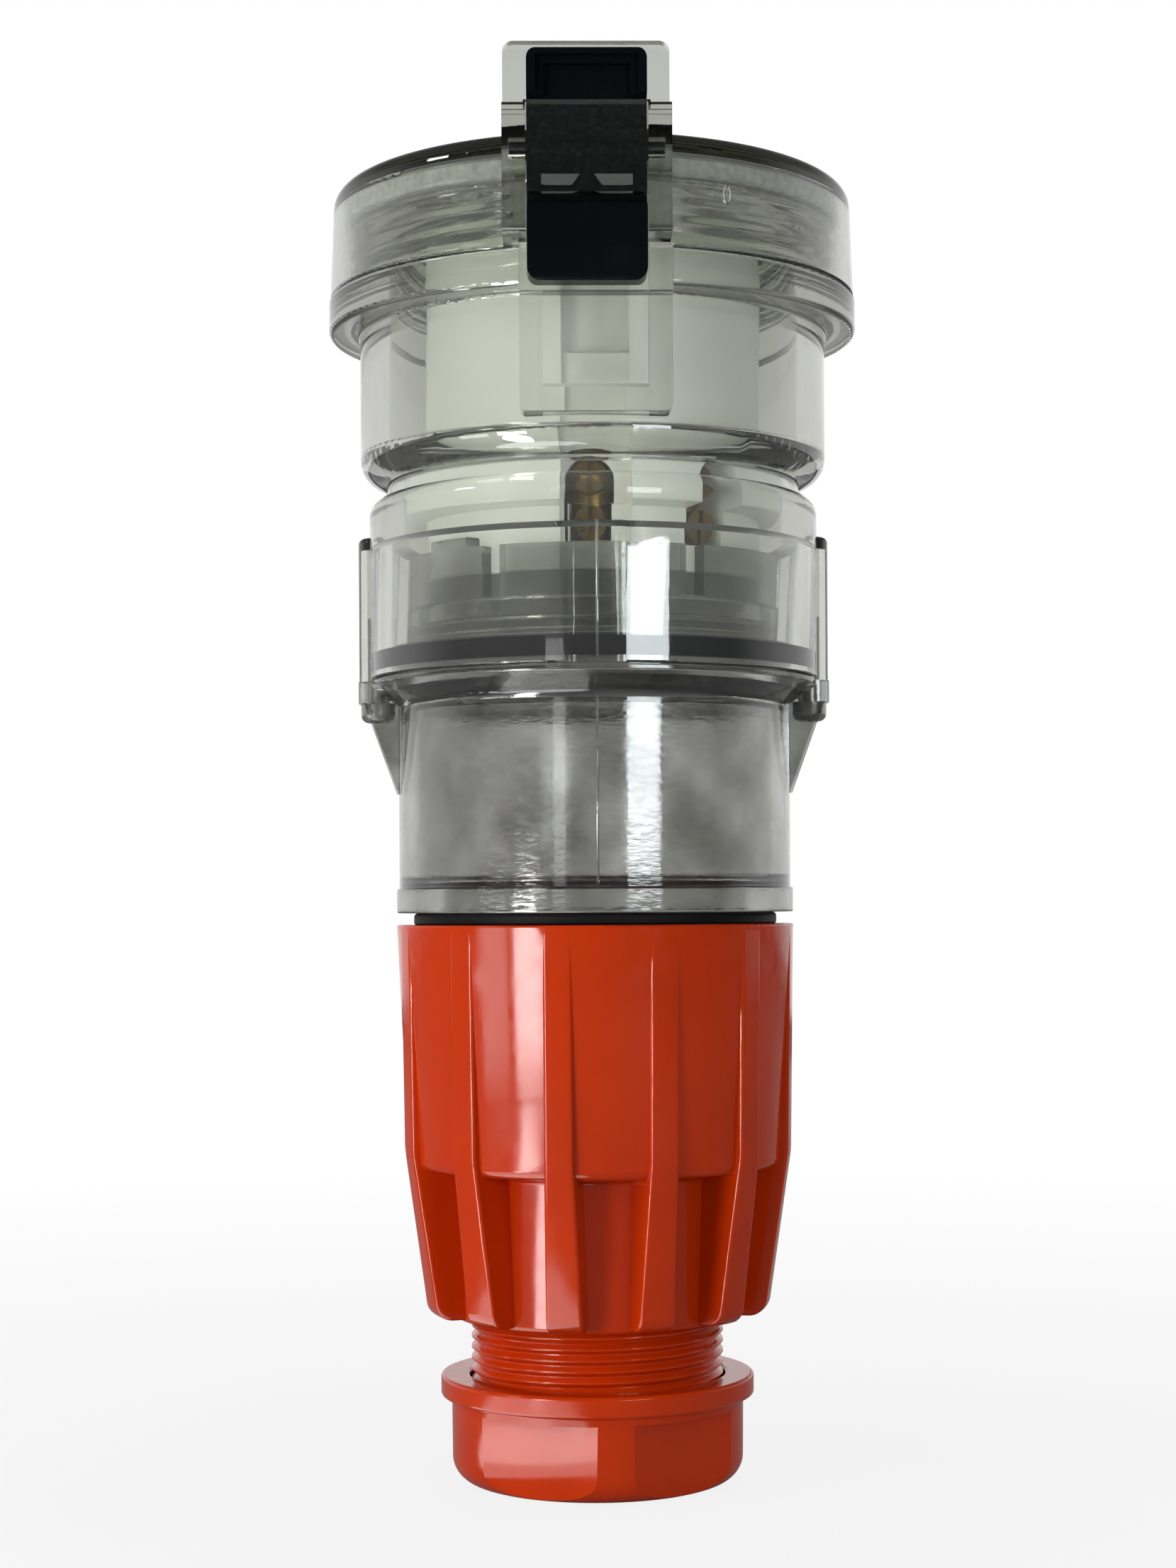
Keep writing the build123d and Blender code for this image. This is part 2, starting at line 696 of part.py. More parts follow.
def make_latch():
    back_y = -flange_r - latch_gap
    pad_y = bridge_y[0]
    grip_y = bridge_y[0] + 0.8
    waist_y = bridge_y[1] + 1.2
    low, high = latch_z
    side = FilletPolyline(
        (back_y, low),
        (grip_y, low),
        (pad_y, low + 3.9),
        (pad_y, bridge_z[0] - 2.0),
        (grip_y, bridge_z[0] - 1.2),
        (waist_y, bridge_z[0] - 0.6),
        (waist_y, bridge_z[1] + 0.7),
        (grip_y, bridge_z[1] + 1.3),
        (grip_y, high),
        (back_y, high),
        radius=(0.4, 1.0, 3.0, 0.4, 0.3, 0.4, 0.3, 0.2, 0.8, 0.4),
        close=True,
    )
    body = side_slab(side, -latch_half_x, latch_half_x)
    front = RectangleRounded(2 * latch_half_x, high - low, 1.5)
    body &= extrude(Plane.XZ.offset(-back_y - 5) * Pos(0, (high + low) / 2) * front, block_reach + 10)
    recess_z = bridge_z[1] - 1.0
    recess_half_x = latch_half_x - 1.1
    body -= block((-recess_half_x, recess_half_x), (pad_y - 5, grip_y + 0.8), (recess_z, high - 1.0))
    body -= block((1.0 - recess_half_x, recess_half_x - 1.0), (pad_y - 5, grip_y + 1.7), (recess_z, high - 2.0))
    nose = Polyline(
        (back_y - slip, catch_z[0] + 0.4),
        (-flange_r - 0.7, catch_z[0] + 0.6),
        (-flange_r - 0.7, catch_z[1] - 0.4),
        (back_y - slip, catch_z[1] - 0.3),
        close=True,
    )
    body += side_slab(nose, -nose_half_x, nose_half_x)
    half_pin = latch_half_x + 2.2
    body += rod_x(trunnion_r, -half_pin, half_pin, *latch_pivot)
    return Pos(latch_x, 0, 0) * body


parts = {
    "gland_nut": make_gland_nut(),
    "gland_washer": make_gland_washer(),
    "gland_seal": make_gland_seal(),
    "back_shell": make_back_shell(),
    "back_seal": make_back_seal(),
    "rear_housing": make_rear_housing(),
    "body_seal": make_body_seal(),
    "body_screws": Compound(children=make_body_screws()),
    "front_housing": make_front_housing(),
    "socket_insert": make_socket_insert(),
    "contact_active": make_contact(0),
    "contact_neutral": make_contact(1),
    "contact_earth": make_contact(2),
    "terminal_screws": Compound(children=make_terminal_screws()),
    "contact_retainer": make_contact_retainer(),
    "retainer_screws": Compound(children=make_retainer_screws()),
    "flap_cap": make_flap_cap(),
    "flap_seal": make_flap_seal(),
    "hinge_pin": make_hinge_pin(),
    "latch": make_latch(),
}

os.makedirs("parts", exist_ok=True)
for name, shape in parts.items():
    export_step(shape, f"parts/{name}.step")
    print(name, len(shape.solids()), "solids", round(shape.volume), "mm3")
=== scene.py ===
# %% [markdown]
# A weatherproof extension socket stands on its gland nut: a clear body with a hinged clear flap on top,
# a white contact insert inside, and a ribbed orange back shell below.
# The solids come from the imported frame. This lesson gives them finishes and adds what is too fine for
# solids, such as screw threads and mould marks. Lengths are in metres, so millimetres are multiplied by MM.

# %% Load the frame
import math

import bmesh
import bpy
from mathutils import Matrix, Vector


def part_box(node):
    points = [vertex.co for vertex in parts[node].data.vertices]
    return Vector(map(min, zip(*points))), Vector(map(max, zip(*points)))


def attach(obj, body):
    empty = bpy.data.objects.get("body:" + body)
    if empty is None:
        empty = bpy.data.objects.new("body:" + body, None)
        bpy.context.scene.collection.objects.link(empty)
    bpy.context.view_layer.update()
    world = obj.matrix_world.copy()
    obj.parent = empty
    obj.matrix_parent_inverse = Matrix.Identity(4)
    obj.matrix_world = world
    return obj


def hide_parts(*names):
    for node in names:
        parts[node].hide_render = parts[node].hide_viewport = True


MM = 0.001
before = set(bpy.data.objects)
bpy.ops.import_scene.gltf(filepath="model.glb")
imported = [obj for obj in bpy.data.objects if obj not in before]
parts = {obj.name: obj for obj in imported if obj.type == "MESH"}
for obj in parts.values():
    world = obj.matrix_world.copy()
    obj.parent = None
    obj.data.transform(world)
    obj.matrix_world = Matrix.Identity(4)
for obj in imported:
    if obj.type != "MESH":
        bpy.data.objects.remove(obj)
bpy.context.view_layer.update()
scene = bpy.context.scene
scene.view_settings.view_transform = "Standard"
print("solids loaded:", len(parts))

# %% [markdown]
# The photograph was taken level, from about 39 cm, very slightly to the left of the latch. A level camera
# keeps upright edges parallel. A tilt could also put the horizon below the middle of the frame, but it
# would make the sides lean, so a lens shift does it. The shift is in pixels of the photograph, where
# 10 pixels are 1 mm at the axis. The lens follows from Blender's 36 mm sensor along the longer side.

# %% Camera
PHOTO_TALL = 2212
PHOTO_WIDE = 1659
PIXELS_PER_MM = 10
SENSOR = 36
EYE_DISTANCE = 390 * MM
EYE_HEIGHT = 80.8 * MM
HORIZON_ROW = 1275
AXIS_COLUMN = 839.5
EYE_TURN = math.radians(-0.84)
EYE_ROLL = math.radians(-0.3)

camera_data = bpy.data.cameras.new("photo_camera")
camera_data.lens = EYE_DISTANCE / MM * PIXELS_PER_MM / PHOTO_TALL * SENSOR
camera_data.shift_y = (HORIZON_ROW - PHOTO_TALL / 2) / PHOTO_TALL
camera_data.shift_x = (PHOTO_WIDE / 2 - AXIS_COLUMN) / PHOTO_TALL
camera_data.clip_start = 0.01
camera = bpy.data.objects.new("photo_camera", camera_data)
scene.collection.objects.link(camera)
eye = Vector((EYE_DISTANCE * math.sin(EYE_TURN), -EYE_DISTANCE * math.cos(EYE_TURN), EYE_HEIGHT))
level_turn = Matrix.Rotation(EYE_TURN, 4, "Z") @ Matrix.Rotation(math.pi / 2, 4, "X")
camera.matrix_world = Matrix.Translation(eye) @ level_turn @ Matrix.Rotation(EYE_ROLL, 4, "Z")
scene.camera = camera
print("lens", round(camera_data.lens, 1), "mm")

# %% [markdown]
# The background is plain white. A clear object borrows its whole look from what is around it, so the room
# matters: rays that pass through the plastic see the white backdrop at eye level and a dark ceiling, as in
# a studio. Rays that bounce off a shiny skin see that backdrop behind the object and a dim room in front,
# and rays thrown back inside the plastic see a dark patch above eye level, on the side of the camera.
# Light Path tells the kinds of rays apart, and the direction of a ray picks the place in the room.

# %% World
AMBIENT = 0.28
ROOM_DIM = 0.06
CEILING = 0.16

world = bpy.data.worlds.new("white_room")
scene.world = world
world.use_nodes = True
room = world.node_tree.nodes
room_links = world.node_tree.links
room.clear()


def room_range(value, start, end, low, high):
    step = room.new("ShaderNodeMapRange")
    step.interpolation_type = "SMOOTHSTEP"
    step.inputs["From Min"].default_value = start
    step.inputs["From Max"].default_value = end
    for name, end_value in (("To Min", low), ("To Max", high)):
        if isinstance(end_value, float):
            step.inputs[name].default_value = end_value
        else:
            room_links.new(end_value, step.inputs[name])
    room_links.new(value, step.inputs["Value"])
    return step.outputs[0]


def for_rays(kind, others, these):
    return room_range(ray_kind.outputs[kind], start=0.0, end=1.0, low=others, high=these)


heading = room.new("ShaderNodeTexCoord")
compass = room.new("ShaderNodeSeparateXYZ")
room_links.new(heading.outputs["Generated"], compass.inputs[0])
ray_kind = room.new("ShaderNodeLightPath")
upward = compass.outputs["Z"]
backward = compass.outputs["Y"]
under_ceiling = room_range(upward, start=0.16, end=0.62, low=1.0, high=CEILING)
backdrop = room_range(backward, start=-0.35, end=0.35, low=ROOM_DIM, high=under_ceiling)
eye_side = room_range(upward, start=0.02, end=0.09, low=1.0, high=ROOM_DIM)
around_eye = room_range(backward, start=-0.975, end=-0.90, low=eye_side, high=under_ceiling)
for_gloss = for_rays("Is Glossy Ray", AMBIENT, backdrop)
for_glass = for_rays("Is Transmission Ray", for_gloss, around_eye)
for_camera = for_rays("Is Camera Ray", for_glass, 1.0)
glow = room.new("ShaderNodeBackground")
glow.inputs["Color"].default_value = (1.0, 1.0, 1.0, 1.0)
room_out = room.new("ShaderNodeOutputWorld")
room_links.new(for_camera, glow.inputs["Strength"])
room_links.new(glow.outputs[0], room_out.inputs["Surface"])
print("ambient light", AMBIENT)

# %% [markdown]
# Highlights say where the lamps were. The long bright stripe on the orange shell comes from a strip low on
# the left, and the broad one on the clear collar from a bluish window on the right. Each lamp is placed by
# its angle from the front, its distance and its height, and looks at a height on the axis. Its brightness
# is written against the backdrop's white, and the watts follow from its area.

# %% Lamps for the highlights
def add_lamp(name, angle, distance, height, wide, tall, brightness, aim_height=0.09):
    lamp_data = bpy.data.lights.new(name, "AREA")
    lamp_data.shape = "RECTANGLE"
    lamp_data.size = wide
    lamp_data.size_y = tall
    lamp_data.energy = brightness * math.pi * wide * tall
    lamp = bpy.data.objects.new(name, lamp_data)
    scene.collection.objects.link(lamp)
    turn = math.radians(angle)
    lamp.location = (distance * math.sin(turn), -distance * math.cos(turn), height)
    aim = Vector((0, 0, aim_height)) - lamp.location
    lamp.rotation_euler = aim.to_track_quat("-Z", "Y").to_euler()
    return lamp


STRIP_HEIGHT = 0.041
WINDOW_HEIGHT = 0.147
WINDOW_BLUE = (0.90, 0.96, 1.0)
add_lamp("strip_left", angle=-40, distance=0.36, height=STRIP_HEIGHT, wide=0.080, tall=0.066,
         brightness=30.0, aim_height=STRIP_HEIGHT)
add_lamp("strip_fade", angle=-59, distance=0.36, height=STRIP_HEIGHT, wide=0.100, tall=0.066,
         brightness=6.0, aim_height=STRIP_HEIGHT)
window = add_lamp("window_right", angle=27, distance=0.60, height=WINDOW_HEIGHT, wide=0.20, tall=0.11,
                  brightness=13.0, aim_height=WINDOW_HEIGHT)
window.data.color = WINDOW_BLUE
add_lamp("strip_soft", angle=-20.5, distance=0.70, height=0.13, wide=0.08, tall=0.10,
         brightness=2.5, aim_height=0.13)
add_lamp("glint_left", angle=-72, distance=0.60, height=0.45, wide=0.11, tall=0.07,
         brightness=22.0, aim_height=0.17)
print("lamps for the highlights:", len(bpy.data.lights))

# %% [markdown]
# The nut's left flat and the flutes mirror a sunlit table top. Oval glows that lie on the floor and face
# up stand for it. They are kept out of diffuse light, so they are seen as reflections only.

# %% Glows on the floor
GLOW_HEIGHT = 0.002
floor_glows = [
    add_lamp("floor_strip", angle=-41, distance=0.22, height=GLOW_HEIGHT, wide=0.045, tall=0.24,
             brightness=20.0),
    add_lamp("floor_glow", angle=-46, distance=0.066, height=GLOW_HEIGHT, wide=0.085, tall=0.085,
             brightness=4.0),
    add_lamp("floor_spot", angle=-42, distance=0.050, height=GLOW_HEIGHT, wide=0.030, tall=0.035,
             brightness=5.0),
]
for lamp in floor_glows:
    lamp.data.shape = "ELLIPSE"
    lamp.rotation_euler = (math.pi, 0, math.atan2(-lamp.location.x, lamp.location.y))
    lamp.visible_diffuse = False
print("glows:", [lamp.name for lamp in floor_glows])

# %% [markdown]
# Four large soft boxes light the object evenly from all sides. They are the other way round: they give
# diffuse light and stay out of reflections and out of the clear plastic.

# %% Soft boxes
BOX_SIDE = 0.7
BOX_DISTANCE = 0.85
soft_boxes = [
    add_lamp("box_left", angle=-62, distance=BOX_DISTANCE, height=0.35, wide=BOX_SIDE, tall=BOX_SIDE,
             brightness=2.0),
    add_lamp("box_above", angle=25, distance=0.35, height=0.95, wide=BOX_SIDE, tall=BOX_SIDE,
             brightness=0.4),
    add_lamp("box_right", angle=108, distance=BOX_DISTANCE, height=0.40, wide=BOX_SIDE, tall=BOX_SIDE,
             brightness=1.2),
    add_lamp("box_back", angle=178, distance=BOX_DISTANCE, height=0.40, wide=BOX_SIDE, tall=BOX_SIDE,
             brightness=2.0),
]
for box in soft_boxes:
    box.visible_glossy = False
    box.visible_transmission = False
print("soft boxes:", [box.name for box in soft_boxes])

# %% [markdown]
# The floor is a wide pale disc. Near the object it is partly matt, so that it holds the soft shadow under
# the nut. Further out it glows at the backdrop's own white, which hides the line where floor and backdrop
# meet. It glows for the camera and through clear plastic only, so it adds no light to the object.

# %% Floor
FLOOR_RADIUS = 1.5
FLOOR_DROP = 0.0002
FLOOR_GREY = (0.40, 0.40, 0.40, 1.0)
GLOW_NEAR = 0.86
GLOW_FROM = 0.05
GLOW_FULL = 0.45

floor_mesh = bpy.data.meshes.new("floor")
floor_build = bmesh.new()
bmesh.ops.create_circle(floor_build, cap_ends=True, segments=96, radius=FLOOR_RADIUS)
floor_build.to_mesh(floor_mesh)
floor_build.free()
floor = bpy.data.objects.new("floor", floor_mesh)
scene.collection.objects.link(floor)
floor.location.z = -FLOOR_DROP
floor_paint = bpy.data.materials.new("floor_white")
floor_paint.use_nodes = True
paint = floor_paint.node_tree.nodes
paint_links = floor_paint.node_tree.links
paint.clear()
floor_rays = paint.new("ShaderNodeLightPath")
floor_place = paint.new("ShaderNodeTexCoord")
floor_reach = paint.new("ShaderNodeVectorMath")
floor_reach.operation = "LENGTH"
floor_fade = paint.new("ShaderNodeMapRange")
floor_fade.inputs["From Min"].default_value = GLOW_FROM
floor_fade.inputs["From Max"].default_value = GLOW_FULL
floor_fade.inputs["To Min"].default_value = GLOW_NEAR
floor_fade.inputs["To Max"].default_value = 1.0
floor_seen = paint.new("ShaderNodeMath")
floor_seen.operation = "MAXIMUM"
floor_share = paint.new("ShaderNodeMath")
floor_share.operation = "MULTIPLY"
floor_matt = paint.new("ShaderNodeBsdfDiffuse")
floor_matt.inputs["Color"].default_value = FLOOR_GREY
floor_white = paint.new("ShaderNodeEmission")
floor_mix = paint.new("ShaderNodeMixShader")
floor_out = paint.new("ShaderNodeOutputMaterial")
paint_links.new(floor_place.outputs["Object"], floor_reach.inputs[0])
paint_links.new(floor_reach.outputs["Value"], floor_fade.inputs["Value"])
paint_links.new(floor_rays.outputs["Is Camera Ray"], floor_seen.inputs[0])
paint_links.new(floor_rays.outputs["Is Transmission Ray"], floor_seen.inputs[1])
paint_links.new(floor_seen.outputs[0], floor_share.inputs[0])
paint_links.new(floor_fade.outputs[0], floor_share.inputs[1])
paint_links.new(floor_share.outputs[0], floor_mix.inputs["Fac"])
paint_links.new(floor_matt.outputs[0], floor_mix.inputs[1])
paint_links.new(floor_white.outputs[0], floor_mix.inputs[2])
paint_links.new(floor_mix.outputs[0], floor_out.inputs["Surface"])
floor_mesh.materials.append(floor_paint)
print("floor radius", FLOOR_RADIUS, "m")

# %% [markdown]
# Every finish starts from one Principled shader. Moulded plastic is never quite flat: a fine noise moves
# its roughness, and a broader one tilts the surface a little, so highlights waver as they do on the real
# part. Image textures could hold such marks, but noise needs no unwrapping and stays sharp close up.

# %% Finish helpers
def start_finish(name, colour, roughness, ior=1.5):
    finish = bpy.data.materials.new(name)
    finish.use_nodes = True
    shader = finish.node_tree.nodes["Principled BSDF"]
    shader.inputs["Base Color"].default_value = (*colour, 1.0)
    shader.inputs["Roughness"].default_value = roughness
    shader.inputs["IOR"].default_value = ior
    return finish, shader


def add_noise(finish, scale, detail=3.0, stretch=(1, 1, 1)):
    nodes = finish.node_tree.nodes
    links = finish.node_tree.links
    place = nodes.new("ShaderNodeTexCoord")
    spread = nodes.new("ShaderNodeMapping")
    spread.inputs["Scale"].default_value = stretch
    noise = nodes.new("ShaderNodeTexNoise")
    noise.inputs["Scale"].default_value = scale
    noise.inputs["Detail"].default_value = detail
    links.new(place.outputs["Object"], spread.inputs["Vector"])
    links.new(spread.outputs[0], noise.inputs["Vector"])
    return noise.outputs["Fac"]


def remap(finish, value, low=0.0, high=1.0, start=0.3, end=0.7):
    step = finish.node_tree.nodes.new("ShaderNodeMapRange")
    step.inputs["From Min"].default_value = start
    step.inputs["From Max"].default_value = end
    step.inputs["To Min"].default_value = low
    step.inputs["To Max"].default_value = high
    finish.node_tree.links.new(value, step.inputs["Value"])
    return step.outputs[0]


def dress(node, finish):
    mesh = parts[node].data
    mesh.materials.clear()
    mesh.materials.append(finish)


print("helpers ready")

# %% [markdown]
# Three more helpers lead a noise to the shader: one to its roughness, one to its colour and one to its
# normal. A second tilt takes the first one as its starting point, so coarse and fine waves add up.

# %% Roughness, colour and tilt
COLOUR_A = 6
COLOUR_B = 7
COLOUR_RESULT = 2


def vary_roughness(finish, shader, value, low, high, start=0.3, end=0.7):
    finish.node_tree.links.new(remap(finish, value, low, high, start, end), shader.inputs["Roughness"])


def blend_colours(finish, shader, value, first, second):
    mix = finish.node_tree.nodes.new("ShaderNodeMix")
    mix.data_type = "RGBA"
    mix.inputs[COLOUR_A].default_value = (*first, 1.0)
    mix.inputs[COLOUR_B].default_value = (*second, 1.0)
    finish.node_tree.links.new(value, mix.inputs[0])
    finish.node_tree.links.new(mix.outputs[COLOUR_RESULT], shader.inputs["Base Color"])


def tilt_surface(finish, shader, height, strength, depth):
    bump = finish.node_tree.nodes.new("ShaderNodeBump")
    bump.inputs["Strength"].default_value = strength
    bump.inputs["Distance"].default_value = depth
    finish.node_tree.links.new(height, bump.inputs["Height"])
    for link in shader.inputs["Normal"].links:
        finish.node_tree.links.new(link.from_socket, bump.inputs["Normal"])
    finish.node_tree.links.new(bump.outputs[0], shader.inputs["Normal"])


print("roughness, colour and tilt ready")

# %% [markdown]
# The back shell and the nut are orange thermoplastic with a glossy skin. The colour shifts a little where
# the melt flowed, and the skin carries faint rubbed patches that dull the highlight.

# %% Orange plastic
ORANGE = (0.43, 0.026, 0.0006)
ORANGE_DEEP = (0.40, 0.024, 0.0005)
ORANGE_LIGHT = (0.46, 0.029, 0.0008)
orange, orange_skin = start_finish("orange_moulded", ORANGE, roughness=0.14)
orange_skin.inputs["Specular IOR Level"].default_value = 0.26
melt = remap(orange, add_noise(orange, scale=55.0, detail=4.0))
blend_colours(orange, orange_skin, melt, ORANGE_DEEP, ORANGE_LIGHT)
vary_roughness(orange, orange_skin, add_noise(orange, scale=500.0, detail=5.0), low=0.09, high=0.17)
tilt_surface(orange, orange_skin, add_noise(orange, scale=160.0, detail=2.0), strength=0.06, depth=0.0003)
for node in ("back_shell", "gland_nut"):
    dress(node, orange)
print("orange on the back shell and the gland nut")

# %% [markdown]
# The flap and both housings are clear plastic, slightly smoky. Principled transmission with the real index
# bends what lies behind, and an absorbing volume darkens long paths, so edges come out darker than walls.
# Lamps can't be traced through bent glass quickly, so for shadow rays a Transparent shader takes over: lamp
# light reaches the insert inside, as it does in the real socket.

# %% Clear plastic
CLEAR_INDEX = 1.585
SMOKE = (0.34, 0.35, 0.28)
LAMP_PASS = (0.86, 0.865, 0.85, 1.0)


def make_clear(name, tint, wave, smoke, clarity):
    clear, skin = start_finish(name, tint, roughness=0.03, ior=CLEAR_INDEX)
    skin.inputs["Transmission Weight"].default_value = clarity
    tilt_surface(clear, skin, add_noise(clear, scale=120.0, detail=2.0), strength=wave, depth=0.0003)
    nodes = clear.node_tree.nodes
    links = clear.node_tree.links
    rays = nodes.new("ShaderNodeLightPath")
    lets_lamps = nodes.new("ShaderNodeBsdfTransparent")
    lets_lamps.inputs["Color"].default_value = LAMP_PASS
    mix = nodes.new("ShaderNodeMixShader")
    links.new(rays.outputs["Is Shadow Ray"], mix.inputs["Fac"])
    links.new(skin.outputs[0], mix.inputs[1])
    links.new(lets_lamps.outputs[0], mix.inputs[2])
    haze = nodes.new("ShaderNodeVolumeAbsorption")
    haze.inputs["Color"].default_value = (*SMOKE, 1.0)
    haze.inputs["Density"].default_value = smoke
    links.new(mix.outputs[0], nodes["Material Output"].inputs["Surface"])
    links.new(haze.outputs[0], nodes["Material Output"].inputs["Volume"])
    return clear, skin


print("index of the clear plastic", CLEAR_INDEX)

# %% [markdown]
# The flap is the smokiest piece and is finely scuffed. The front housing has the smoothest skin. The wall
# of the rear housing is clouded in soft patches, and its scuffs run around it.

# %% Flap and housings
TINT = (0.72, 0.73, 0.695)
REAR_TINT = (0.55, 0.56, 0.54)
CLOUD_DARK = (0.33, 0.328, 0.31)
CLOUD_PALE = (0.60, 0.60, 0.585)
ALONG = (1, 1, 0.4)
AROUND = (0.6, 0.6, 1.6)
AROUND_FINE = (0.5, 0.5, 1.6)

clear_flap, flap_skin = make_clear("clear_flap", TINT, wave=0.05, smoke=70.0, clarity=1.0)
flap_scuff = add_noise(clear_flap, scale=1500.0, detail=4.0)
vary_roughness(clear_flap, flap_skin, flap_scuff, low=0.02, high=0.16, start=0.45, end=0.75)
tilt_surface(clear_flap, flap_skin, add_noise(clear_flap, scale=1300.0), strength=0.10, depth=0.0001)
dress("flap_cap", clear_flap)

clear_front, front_skin = make_clear("clear_front", TINT, wave=0.09, smoke=48.0, clarity=0.975)
front_scuff = add_noise(clear_front, scale=600.0, detail=4.0, stretch=ALONG)
vary_roughness(clear_front, front_skin, front_scuff, low=0.01, high=0.08, start=0.4, end=0.8)
dress("front_housing", clear_front)

clear_rear, rear_skin = make_clear("clear_rear", REAR_TINT, wave=0.08, smoke=34.0, clarity=0.98)
cloud = remap(clear_rear, add_noise(clear_rear, scale=110.0, detail=5.0), start=0.35, end=0.65)
blend_colours(clear_rear, rear_skin, cloud, CLOUD_DARK, CLOUD_PALE)
rear_scuff = add_noise(clear_rear, scale=900.0, detail=4.0, stretch=AROUND)
vary_roughness(clear_rear, rear_skin, rear_scuff, low=0.04, high=0.13, start=0.4, end=0.6)
rear_grain = add_noise(clear_rear, scale=1300.0, stretch=AROUND_FINE)
tilt_surface(clear_rear, rear_skin, rear_grain, strength=0.16, depth=0.0001)
dress("rear_housing", clear_rear)
print("clear finishes made")

# %% [markdown]
# Inside sit a satin white insert, dull brass contacts and plain steel screws. They are seen only through
# the clear walls, so their finishes stay simple, with a little variation each.

# %% Insert and metal
WHITE = (0.80, 0.81, 0.77)
WHITE_LOW = (0.77, 0.78, 0.74)
WHITE_HIGH = (0.83, 0.84, 0.80)
BRASS = (0.20, 0.13, 0.04)
STEEL = (0.30, 0.30, 0.29)

white, white_skin = start_finish("white_insert", WHITE, roughness=0.35)
white_mark = remap(white, add_noise(white, scale=60.0, detail=4.0))
blend_colours(white, white_skin, white_mark, WHITE_LOW, WHITE_HIGH)
dress("socket_insert", white)


def make_metal(name, colour, noise_scale, smooth, dull, nodes):
    metal, skin = start_finish(name, colour, roughness=0.3)
    skin.inputs["Metallic"].default_value = 1.0
    vary_roughness(metal, skin, add_noise(metal, noise_scale, detail=4.0), low=smooth, high=dull)
    for node in nodes:
        dress(node, metal)


contacts = ("contact_active", "contact_neutral", "contact_earth", "terminal_screws")
make_metal("dull_brass", BRASS, noise_scale=700.0, smooth=0.22, dull=0.45, nodes=contacts)
fasteners = ("retainer_screws", "body_screws", "hinge_pin")
make_metal("plain_steel", STEEL, noise_scale=800.0, smooth=0.22, dull=0.40, nodes=fasteners)
print("brass on", contacts, "and steel on", fasteners)

# %% [markdown]
# The latch is glossy black plastic with fine handling scratches that run up and down, so its noise is
# stretched upwards. The seals are dull black rubber with a fine grain.

# %% Latch and rubber
BLACK = (0.003, 0.0035, 0.005)
RUBBER = (0.006, 0.006, 0.007)
UPWARDS = (1, 1, 0.08)

black, black_skin = start_finish("black_latch", BLACK, roughness=0.18)
black_skin.inputs["Specular IOR Level"].default_value = 0.05
scratch = add_noise(black, scale=220.0, detail=6.0, stretch=UPWARDS)
vary_roughness(black, black_skin, scratch, low=0.12, high=0.30)
tilt_surface(black, black_skin, scratch, strength=0.05, depth=0.0002)
dress("latch", black)

rubber, rubber_skin = start_finish("black_rubber", RUBBER, roughness=0.55)
rubber_skin.inputs["Specular IOR Level"].default_value = 0.12
tilt_surface(rubber, rubber_skin, add_noise(rubber, scale=1200.0), strength=0.2, depth=0.0002)
for node in ("body_seal", "back_seal", "gland_seal"):
    dress(node, rubber)
print("latch and rubber dressed")

# %% [markdown]
# The flap's own seal is a frosted pale ring that lets some light through. The washer is plain moulded plastic
# and the retainer dark grey, which darkens the band under the insert; both have a slightly uneven skin.

# %% Flap seal, retainer and washer
FROST = (0.46, 0.47, 0.44)
FROST_DARK = (0.36, 0.37, 0.35)
FROST_PALE = (0.58, 0.59, 0.56)
RETAINER_GREY = (0.10, 0.105, 0.105)
WASHER_WHITE = (0.60, 0.59, 0.55)

frosted, frosted_skin = start_finish("frosted_seal", FROST, roughness=0.65)
frosted_skin.inputs["Transmission Weight"].default_value = 0.25
frost = add_noise(frosted, scale=900.0, detail=5.0)
blend_colours(frosted, frosted_skin, remap(frosted, frost), FROST_DARK, FROST_PALE)
tilt_surface(frosted, frosted_skin, frost, strength=0.4, depth=0.0003)
dress("flap_seal", frosted)

# Dark grey, which darkens the band under the insert.
retainer_grey, retainer_skin = start_finish("retainer_grey", RETAINER_GREY, roughness=0.45)
tilt_surface(retainer_grey, retainer_skin, add_noise(retainer_grey, scale=600.0), strength=0.15, depth=0.0002)
dress("contact_retainer", retainer_grey)

washer_white, washer_skin = start_finish("washer_white", WASHER_WHITE, roughness=0.5)
tilt_surface(washer_white, washer_skin, add_noise(washer_white, scale=500.0), strength=0.15, depth=0.0002)
dress("gland_washer", washer_white)
print("all nodes dressed:", all(len(o.data.materials) == 1 for o in parts.values()))

# %% [markdown]
# New pieces are built in bmesh, mostly from closed rings of points that are joined by four-sided faces.
# A mesh copied from the frame still carries the normals that it came with. They don't fit once its points
# are merged, and clear plastic shows that as dark streaks. So they are dropped, the faces are shaded
# smooth, and edges that turn by more than 30 degrees are marked sharp.

# %% Mesh helpers
SHARP_TURN = math.radians(30)


def add_piece(name, build, finish, body):
    bmesh.ops.recalc_face_normals(build, faces=build.faces)
    mesh = bpy.data.meshes.new(name)
    build.to_mesh(mesh)
    build.free()
    if "custom_normal" in mesh.attributes:
        mesh.attributes.remove(mesh.attributes["custom_normal"])
    mesh.update()
    mesh.shade_smooth()
    mesh.set_sharp_from_angle(angle=SHARP_TURN)
    mesh.materials.append(finish)
    piece = bpy.data.objects.new(name, mesh)
    scene.collection.objects.link(piece)
    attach(piece, body)
    return piece


def add_ring(build, radius, height, steps):
    ring = []
    for step in range(steps):
        angle = 2 * math.pi * step / steps - math.pi
        ring.append(build.verts.new((radius * math.cos(angle), radius * math.sin(angle), height)))
    return ring


